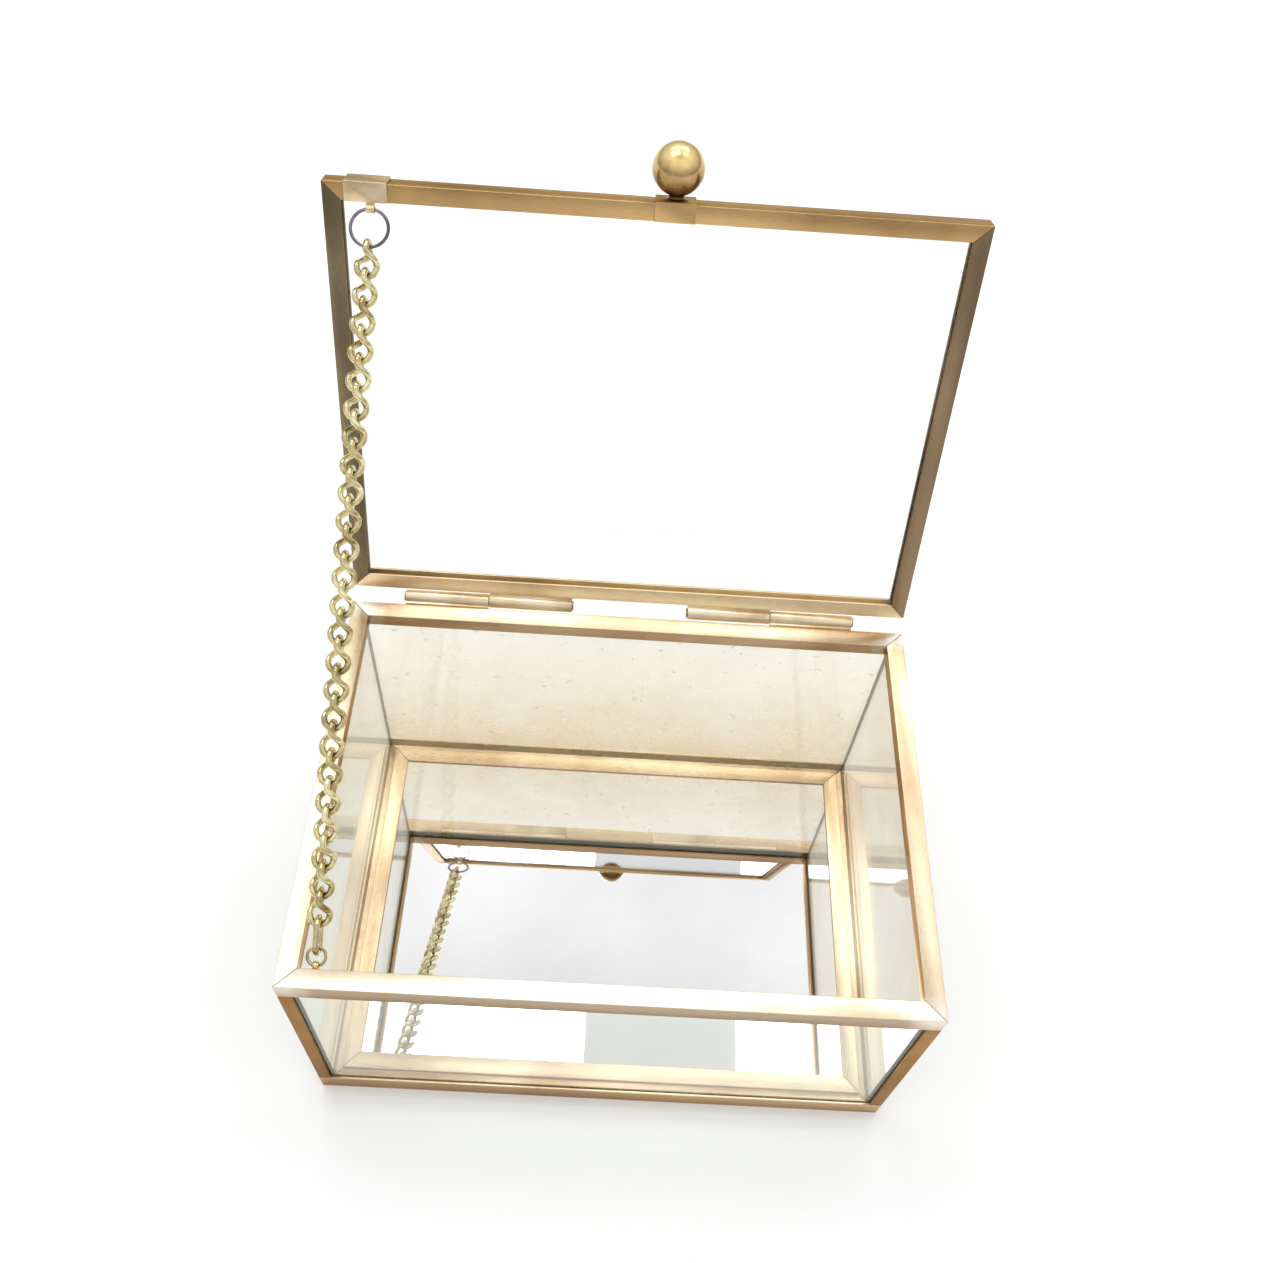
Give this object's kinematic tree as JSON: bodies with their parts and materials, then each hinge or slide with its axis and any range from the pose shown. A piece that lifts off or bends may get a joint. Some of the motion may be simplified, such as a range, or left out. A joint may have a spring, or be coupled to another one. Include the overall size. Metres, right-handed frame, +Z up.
{
  "type": "glass casket box",
  "caption": "Rectangular keepsake casket of clear glass panes in folded brass rails, with a mirror floor, a hinged glass lid, a ball knob and a stay chain.",
  "frame": {"origin": "centre of the box's footprint on the underside of the backing pad, where the box rests", "axes": "+X to the box's right as seen from the front, +Y to the back where the hinges are, +Z up; the lid is stored open at 108.3 degrees"},
  "size_m": [0.14, 0.144, 0.1785],
  "materials": {
    "rail_brass": "satin brushed, antiqued",
    "fitting_brass": "polished, lightly worn",
    "pin_brass": "dull",
    "chain_brass": "bright, pale",
    "ring_steel": "dark, oxidised",
    "pane_glass": "clear, polished edges",
    "mirror": "silvered glass",
    "backing": "dark matt board"
  },
  "bodies": {
    "box": {"base_rail_front": "rail_brass", "base_rail_right": "rail_brass", "base_rail_rear": "rail_brass", "base_rail_left": "rail_brass", "post_front_left": "rail_brass", "post_front_right": "rail_brass", "post_rear_right": "rail_brass", "post_rear_left": "rail_brass", "rim_rail_front": "rail_brass", "rim_rail_right": "rail_brass", "rim_rail_rear": "rail_brass", "rim_rail_left": "rail_brass", "pane_front": "pane_glass", "pane_right": "pane_glass", "pane_rear": "pane_glass", "pane_left": "pane_glass", "mirror_floor": "mirror", "backing_pad": "backing", "box_knuckle_left": "fitting_brass", "box_knuckle_right": "fitting_brass", "hinge_pin_left": "pin_brass", "hinge_pin_right": "pin_brass", "rim_eye": "fitting_brass"},
    "lid": {"lid_rail_front": "rail_brass", "lid_rail_right": "rail_brass", "lid_rail_rear": "rail_brass", "lid_rail_left": "rail_brass", "lid_glass": "pane_glass", "knob_saddle": "fitting_brass", "ball_knob": "fitting_brass", "lid_strap": "fitting_brass", "lid_knuckle_left": "fitting_brass", "lid_knuckle_right": "fitting_brass"},
    "lid_ring": {"lid_ring": "ring_steel", "chain_link_01": "chain_brass"},
    "chain_links_02_03": {"chain_link_02": "chain_brass", "chain_link_03": "chain_brass"},
    "chain_links_04_05": {"chain_link_04": "chain_brass", "chain_link_05": "chain_brass"},
    "chain_links_06_07": {"chain_link_06": "chain_brass", "chain_link_07": "chain_brass"},
    "chain_links_08_09": {"chain_link_08": "chain_brass", "chain_link_09": "chain_brass"},
    "chain_links_10_11": {"chain_link_10": "chain_brass", "chain_link_11": "chain_brass"},
    "box_ring": {"chain_link_25": "chain_brass", "box_ring": "chain_brass"},
    "chain_links_23_24": {"chain_link_23": "chain_brass", "chain_link_24": "chain_brass"},
    "chain_links_21_22": {"chain_link_21": "chain_brass", "chain_link_22": "chain_brass"},
    "chain_links_19_20": {"chain_link_19": "chain_brass", "chain_link_20": "chain_brass"},
    "chain_links_17_18": {"chain_link_17": "chain_brass", "chain_link_18": "chain_brass"},
    "chain_links_15_16": {"chain_link_15": "chain_brass", "chain_link_16": "chain_brass"},
    "chain_links_12_14": {"chain_link_12": "chain_brass", "chain_link_13": "chain_brass", "chain_link_14": "chain_brass"}
  },
  "joints": [
    {"name": "lid_hinge", "type": "hinge", "parent": "box", "child": "lid", "pos_m": [0, 0.05215, 0.0705], "axis": [1, 0, 0], "range_deg": [0, 108.3]},
    {"name": "lid_ring_swing", "type": "hinge", "parent": "lid", "child": "lid_ring", "pos_m": [-0.06, 0.08251, 0.16263], "axis": [1, 0, 0], "range_deg": [-0.5, 11.9]},
    {"name": "chain_links_02_03_swing", "type": "hinge", "parent": "lid_ring", "child": "chain_links_02_03", "pos_m": [-0.06019, 0.07124, 0.15417], "axis": [1, 0, 0], "range_deg": [-26.4, 0.5]},
    {"name": "chain_links_04_05_swing", "type": "hinge", "parent": "chain_links_02_03", "child": "chain_links_04_05", "pos_m": [-0.06037, 0.06182, 0.14709], "axis": [1, 0, 0], "range_deg": [-8, 0.5]},
    {"name": "chain_links_06_07_swing", "type": "hinge", "parent": "chain_links_04_05", "child": "chain_links_06_07", "pos_m": [-0.06055, 0.05239, 0.14002], "axis": [1, 0, 0], "range_deg": [-8, 0.5]},
    {"name": "chain_links_08_09_swing", "type": "hinge", "parent": "chain_links_06_07", "child": "chain_links_08_09", "pos_m": [-0.06074, 0.04296, 0.13294], "axis": [1, 0, 0], "range_deg": [-8, 0.5]},
    {"name": "chain_links_10_11_swing", "type": "hinge", "parent": "chain_links_08_09", "child": "chain_links_10_11", "pos_m": [-0.06092, 0.03354, 0.12587], "axis": [1, 0, 0], "range_deg": [-32.5, 0.5]},
    {"name": "box_ring_swing", "type": "hinge", "parent": "box", "child": "box_ring", "pos_m": [-0.0624, -0.0441, 0.0676], "axis": [1, 0, 0], "range_deg": [-117.6, 0.5]},
    {"name": "chain_links_23_24_swing", "type": "hinge", "parent": "box_ring", "child": "chain_links_23_24", "pos_m": [-0.06221, -0.03717, 0.0728], "axis": [1, 0, 0], "range_deg": [-4.6, 0.5]},
    {"name": "chain_links_21_22_swing", "type": "hinge", "parent": "chain_links_23_24", "child": "chain_links_21_22", "pos_m": [-0.06203, -0.02774, 0.07988], "axis": [1, 0, 0], "range_deg": [-4.6, 0.5]},
    {"name": "chain_links_19_20_swing", "type": "hinge", "parent": "chain_links_21_22", "child": "chain_links_19_20", "pos_m": [-0.06185, -0.01831, 0.08695], "axis": [1, 0, 0], "range_deg": [-4.6, 0.5]},
    {"name": "chain_links_17_18_swing", "type": "hinge", "parent": "chain_links_19_20", "child": "chain_links_17_18", "pos_m": [-0.06166, -0.00889, 0.09403], "axis": [1, 0, 0], "range_deg": [-0.5, 5]},
    {"name": "chain_links_15_16_swing", "type": "hinge", "parent": "chain_links_17_18", "child": "chain_links_15_16", "pos_m": [-0.06148, 0.00054, 0.1011], "axis": [1, 0, 0], "range_deg": [-0.5, 86]},
    {"name": "chain_links_12_14_swing", "type": "hinge", "parent": "chain_links_15_16", "child": "chain_links_12_14", "pos_m": [-0.06129, 0.00997, 0.10818], "axis": [1, 0, 0], "range_deg": [-0.5, 6.9]}
  ],
  "couplings": [
    {"joint": "lid_ring_swing", "follows": "lid_hinge", "ratio": 0.10535},
    {"joint": "chain_links_02_03_swing", "follows": "lid_hinge", "ratio": -0.23923},
    {"joint": "chain_links_04_05_swing", "follows": "lid_hinge", "ratio": -0.069017},
    {"joint": "chain_links_06_07_swing", "follows": "lid_hinge", "ratio": -0.069017},
    {"joint": "chain_links_08_09_swing", "follows": "lid_hinge", "ratio": -0.069017},
    {"joint": "chain_links_10_11_swing", "follows": "lid_hinge", "ratio": -0.29556},
    {"joint": "box_ring_swing", "follows": "lid_hinge", "ratio": -1.081},
    {"joint": "chain_links_23_24_swing", "follows": "lid_hinge", "ratio": -0.037711},
    {"joint": "chain_links_21_22_swing", "follows": "lid_hinge", "ratio": -0.037711},
    {"joint": "chain_links_19_20_swing", "follows": "lid_hinge", "ratio": -0.037711},
    {"joint": "chain_links_17_18_swing", "follows": "lid_hinge", "ratio": 0.041898},
    {"joint": "chain_links_15_16_swing", "follows": "lid_hinge", "ratio": 0.78974},
    {"joint": "chain_links_12_14_swing", "follows": "lid_hinge", "ratio": 0.059103}
  ]
}
